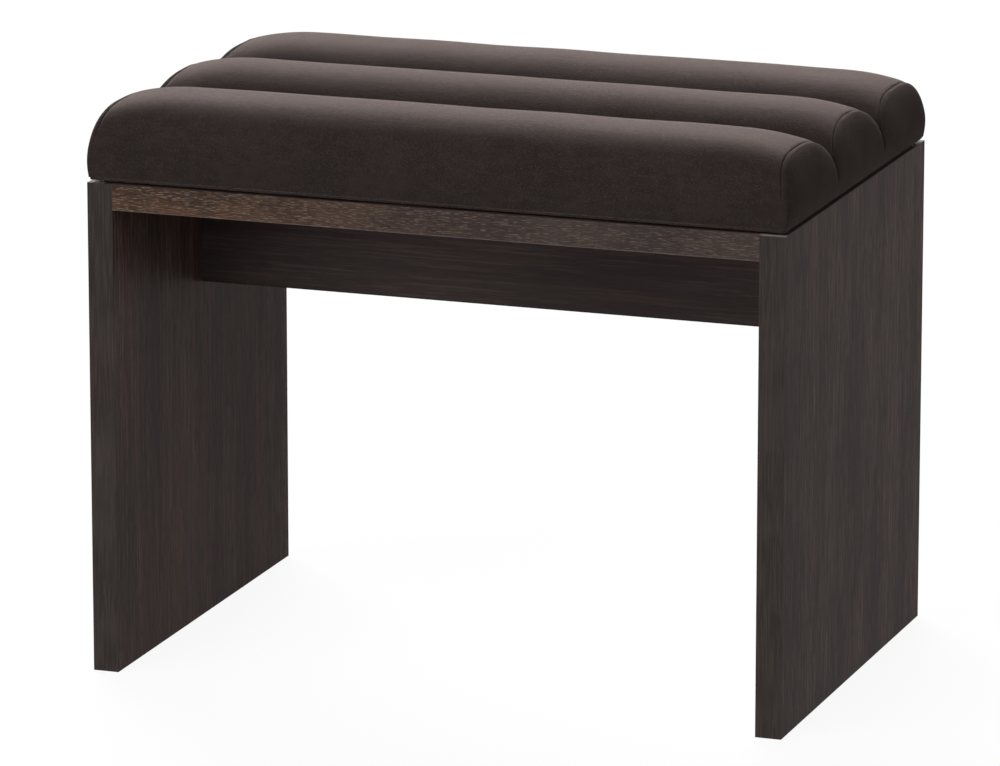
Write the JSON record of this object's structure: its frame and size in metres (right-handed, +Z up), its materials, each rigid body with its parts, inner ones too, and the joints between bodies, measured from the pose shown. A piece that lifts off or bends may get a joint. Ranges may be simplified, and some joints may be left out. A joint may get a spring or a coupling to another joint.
{
  "type": "pouf",
  "caption": "Low upholstered pouf: a seat of lengthwise padded rolls on a board carcass with full-height side panels, a top board and a stretcher rail.",
  "frame": {"origin": "on the floor, under the middle of the pouf", "axes": "+X along the seat rolls, +Y from the front edge to the back, +Z up"},
  "size_m": [0.6094, 0.39, 0.4849],
  "materials": {
    "wenge_board": "melamine-faced board in a dark wenge decor, fine grain, satin",
    "dark_edging": "thin edge band in the board colour, satin",
    "brown_edging": "thin edge band, lighter brown with a flecked grain, satin",
    "beech": "fluted beech dowel, raw",
    "raw_chipboard": "raw chipboard",
    "steel": "zinc-plated steel",
    "cast_zinc": "die-cast zinc, matt",
    "foam": "open-cell upholstery foam",
    "velour": "very dark brown short-pile velour with a soft sheen",
    "woven_tape": "woven tape"
  },
  "bodies": {
    "root": {"left_side_panel": "wenge_board", "right_side_panel": "wenge_board", "left_panel_edging": "dark_edging", "right_panel_edging": "dark_edging", "top_board": "wenge_board", "top_board_edging": "brown_edging", "stretcher_rail": "wenge_board", "stretcher_edging": "dark_edging", "top_board_cam_bolts": "steel", "top_board_cam_locks": "cast_zinc", "top_board_dowels": "beech", "stretcher_cam_bolts": "steel", "stretcher_cam_locks": "cast_zinc", "stretcher_dowels": "beech", "seat_base_board": "raw_chipboard", "seat_screws": "steel", "front_foam_roll": "foam", "middle_foam_roll": "foam", "rear_foam_roll": "foam", "front_roll_cover": "velour", "middle_roll_cover": "velour", "rear_roll_cover": "velour", "left_end_panel": "velour", "right_end_panel": "velour", "seat_hem": "velour", "hem_staples": "steel", "channel_tapes": "woven_tape", "channel_staples": "steel"}
  },
  "joints": []
}
